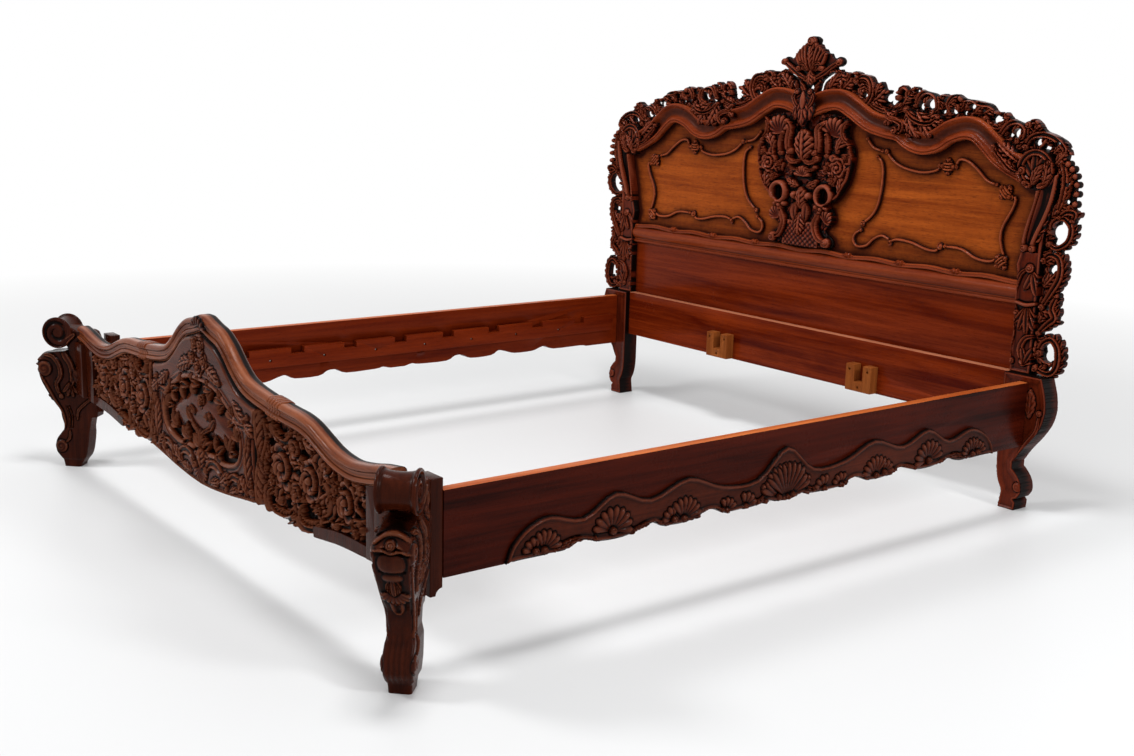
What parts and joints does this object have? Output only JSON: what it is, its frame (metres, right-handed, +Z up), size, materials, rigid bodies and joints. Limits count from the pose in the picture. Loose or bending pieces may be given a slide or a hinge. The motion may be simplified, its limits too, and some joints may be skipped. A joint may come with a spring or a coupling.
{
  "type": "carved bed frame",
  "caption": "Carved mahogany bedstead with a pierced arched headboard, a serpentine footboard on canted scroll legs and side rails with carved aprons.",
  "frame": {"origin": "centre of the bed's overall box, at floor level", "axes": "+X to the right when facing the headboard from the foot, +Y from the foot to the head, +Z up"},
  "size_m": [2.281, 2.3896, 1.445],
  "materials": {
    "carved_wood": "dark glossy lacquer over carved mahogany",
    "panel_wood": "warm brown satin lacquer over straight grained mahogany",
    "plain_wood": "deep red brown gloss lacquer",
    "foot_wood": "dark brown gloss lacquer over carved mahogany",
    "raw_wood": "thin satin lacquer with pale end grain",
    "steel": "zinc plated"
  },
  "bodies": {
    "root": {"head_leg_left": "plain_wood", "head_leg_right": "plain_wood", "head_stile_left": "carved_wood", "head_stile_right": "carved_wood", "side_carving_left": "carved_wood", "side_carving_right": "carved_wood", "head_bottom_rail": "plain_wood", "head_lower_panel": "plain_wood", "head_mid_rail": "carved_wood", "head_ribbon": "carved_wood", "head_upper_panel": "panel_wood", "arch_frame_left": "carved_wood", "arch_frame_right": "carved_wood", "crest_carving_left": "carved_wood", "crest_carving_right": "carved_wood", "crest_finial": "carved_wood", "keystone_leaf": "carved_wood", "center_cartouche": "carved_wood", "panel_scrolls_left": "carved_wood", "panel_scrolls_right": "carved_wood", "beam_bracket_left": "raw_wood", "beam_bracket_right": "raw_wood", "bracket_screws": "steel", "foot_leg_left": "foot_wood", "foot_leg_right": "foot_wood", "foot_post_left": "foot_wood", "foot_post_right": "foot_wood", "foot_stile_left": "foot_wood", "foot_stile_right": "foot_wood", "foot_top_rail_left": "foot_wood", "foot_top_rail_right": "foot_wood", "foot_crown": "foot_wood", "foot_cartouche": "foot_wood", "foot_carving_left": "foot_wood", "foot_carving_right": "foot_wood", "foot_bottom_rail_left": "foot_wood", "foot_bottom_rail_right": "foot_wood", "side_rail_left": "plain_wood", "side_rail_right": "plain_wood", "apron_left": "foot_wood", "apron_right": "foot_wood", "slat_ledger_left": "plain_wood", "slat_ledger_right": "plain_wood", "ledger_screws": "steel", "rail_hook_plates": "steel", "post_catch_plates": "steel", "plate_screws": "steel"}
  },
  "joints": []
}
